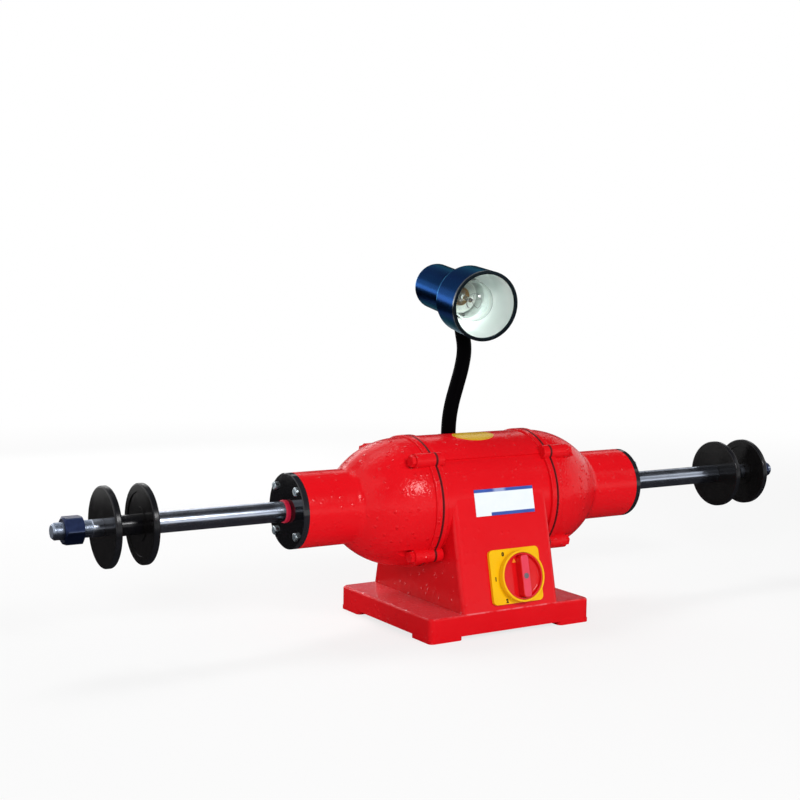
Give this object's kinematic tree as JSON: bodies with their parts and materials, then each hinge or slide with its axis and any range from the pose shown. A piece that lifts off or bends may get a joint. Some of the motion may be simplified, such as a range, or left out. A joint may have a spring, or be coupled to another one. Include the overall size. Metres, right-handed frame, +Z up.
{
  "type": "bench polishing machine",
  "caption": "Double-ended bench polishing machine: red cast motor body on a pedestal, long polished spindle ends with wheel flanges and nuts, a rotary switch and a gooseneck lamp.",
  "frame": {"origin": "middle of the base on the bench, under the spindle's middle", "axes": "+X along the spindle to the right as seen from the switch side, +Y to the back, +Z up"},
  "size_m": [1.102, 0.2639, 0.4594],
  "materials": {
    "red_enamel": "gloss enamel over cast iron",
    "black_enamel": "gloss black enamel",
    "blackened_steel": "blackened, satin",
    "blued_steel": "blued, satin",
    "polished_steel": "ground and polished",
    "zinc_steel": "bright zinc plate",
    "bearing_steel": "polished",
    "core_steel": "laminated steel",
    "copper": "varnished copper wire",
    "aluminium": "cast",
    "red_rubber": "satin",
    "yellow_plastic": "gloss",
    "red_plastic": "gloss",
    "black_plastic": "matte",
    "white_plate": "white print with blue bands",
    "gold_label": "plain film",
    "lamp_enamel": "gloss black with a white inside",
    "neck_sleeve": "smooth sleeve",
    "holder_porcelain": "white glazed porcelain",
    "brass": "rolled sheet",
    "bulb_glass": "clear"
  },
  "bodies": {
    "machine_body": {"body_casting": "red_enamel", "stator_core": "core_steel", "stator_windings": "copper", "switch_plate": "yellow_plastic", "switch_body": "black_plastic", "nameplate": "white_plate", "top_label": "gold_label", "bottom_plate": "zinc_steel", "bottom_plate_screws": "zinc_steel", "terminal_block": "black_plastic", "cable_gland": "black_plastic", "lamp_lock_nut": "blued_steel", "lamp_neck_base": "neck_sleeve", "left_end_bell": "red_enamel", "left_bell_bolts": "red_enamel", "left_bearing_cover": "black_enamel", "left_cover_screws": "zinc_steel", "left_bearing_outer_race": "bearing_steel", "left_bearing_washer": "zinc_steel", "right_end_bell": "red_enamel", "right_bell_bolts": "red_enamel", "right_bearing_cover": "black_enamel", "right_cover_screws": "zinc_steel", "right_bearing_outer_race": "bearing_steel", "right_bearing_washer": "zinc_steel"},
    "spindle": {"shaft": "polished_steel", "rotor_core": "core_steel", "rotor_end_rings": "aluminium", "left_bearing_inner_race": "bearing_steel", "left_dust_seal": "red_rubber", "left_inner_flange": "blackened_steel", "right_bearing_inner_race": "bearing_steel", "right_dust_seal": "red_rubber", "right_inner_flange": "blackened_steel"},
    "switch_handle": {"switch_knob": "red_plastic", "switch_pointer": "yellow_plastic", "knob_screw": "zinc_steel", "switch_spindle": "zinc_steel"},
    "lamp_head": {"lamp_ferrule": "neck_sleeve", "lamp_shade": "lamp_enamel", "lamp_housing": "lamp_enamel", "lamp_holder": "holder_porcelain", "bulb_cap": "brass", "bulb_glass": "bulb_glass"},
    "left_ball_set": {"left_bearing_balls": "bearing_steel", "left_bearing_cage": "brass"},
    "left_clamp_flange": {"left_outer_flange": "blackened_steel"},
    "left_nut": {"left_arbor_nut": "blued_steel"},
    "right_ball_set": {"right_bearing_balls": "bearing_steel", "right_bearing_cage": "brass"},
    "right_clamp_flange": {"right_outer_flange": "blackened_steel"},
    "right_nut": {"right_arbor_nut": "blued_steel"},
    "neck_1": {"neck_segment_1": "neck_sleeve"},
    "neck_2": {"neck_segment_2": "neck_sleeve"},
    "neck_3": {"neck_segment_3": "neck_sleeve"},
    "neck_4": {"neck_segment_4": "neck_sleeve"},
    "neck_5": {"neck_segment_5": "neck_sleeve"}
  },
  "joints": [
    {"name": "spindle_spin", "type": "hinge", "parent": "machine_body", "child": "spindle", "pos_m": [0, 0, 0.158], "axis": [1, 0, 0], "continuous": true},
    {"name": "switch_turn", "type": "hinge", "parent": "machine_body", "child": "switch_handle", "pos_m": [0.0135, -0.10152, 0.069], "axis": [0, -0.976, 0.2178], "range_deg": [0, 120]},
    {"name": "left_cage_spin", "type": "hinge", "parent": "machine_body", "child": "left_ball_set", "pos_m": [-0.2415, 0, 0.158], "axis": [1, 0, 0], "continuous": true},
    {"name": "left_nut_turn", "type": "hinge", "parent": "spindle", "child": "left_nut", "pos_m": [-0.528, 0, 0.158], "axis": [-1, 0, 0], "continuous": true},
    {"name": "right_cage_spin", "type": "hinge", "parent": "machine_body", "child": "right_ball_set", "pos_m": [0.2415, 0, 0.158], "axis": [1, 0, 0], "continuous": true},
    {"name": "right_nut_turn", "type": "hinge", "parent": "spindle", "child": "right_nut", "pos_m": [0.528, 0, 0.158], "axis": [1, 0, 0], "continuous": true},
    {"name": "left_flange_slide", "type": "slide", "parent": "spindle", "child": "left_clamp_flange", "axis": [-1, 0, 0], "range_m": [0, 0.0235]},
    {"name": "right_flange_slide", "type": "slide", "parent": "spindle", "child": "right_clamp_flange", "axis": [1, 0, 0], "range_m": [-0.0098, 0.0135]},
    {"name": "neck_bend_fore", "type": "hinge", "parent": "machine_body", "child": "neck_1", "pos_m": [0.0127, 0.06, 0.247], "axis": [1, 0, 0], "range_deg": [-15, 15]},
    {"name": "neck_bend_side", "type": "hinge", "parent": "neck_1", "child": "neck_2", "pos_m": [0.01715, 0.06, 0.27221], "axis": [0, 1, 0], "range_deg": [-15, 15]},
    {"name": "neck_bend_fore_2", "type": "hinge", "parent": "neck_2", "child": "neck_3", "pos_m": [0.02506, 0.06, 0.29656], "axis": [1, 0, 0], "range_deg": [-15, 15]},
    {"name": "neck_bend_side_2", "type": "hinge", "parent": "neck_3", "child": "neck_4", "pos_m": [0.03297, 0.06, 0.3209], "axis": [0, 1, 0], "range_deg": [-15, 15]},
    {"name": "neck_bend_fore_3", "type": "hinge", "parent": "neck_4", "child": "neck_5", "pos_m": [0.03741, 0.06, 0.34612], "axis": [1, 0, 0], "range_deg": [-15, 15]},
    {"name": "neck_bend_side_3", "type": "hinge", "parent": "neck_5", "child": "lamp_head", "pos_m": [0.03209, 0.06, 0.37116], "axis": [0, 1, 0], "range_deg": [-15, 15]}
  ],
  "couplings": [
    {"joint": "left_cage_spin", "follows": "spindle_spin", "ratio": 0.372},
    {"joint": "right_cage_spin", "follows": "spindle_spin", "ratio": 0.372},
    {"joint": "neck_bend_fore_2", "follows": "neck_bend_fore", "ratio": 1},
    {"joint": "neck_bend_side_2", "follows": "neck_bend_side", "ratio": 1},
    {"joint": "neck_bend_fore_3", "follows": "neck_bend_fore", "ratio": 1},
    {"joint": "neck_bend_side_3", "follows": "neck_bend_side", "ratio": 1}
  ]
}
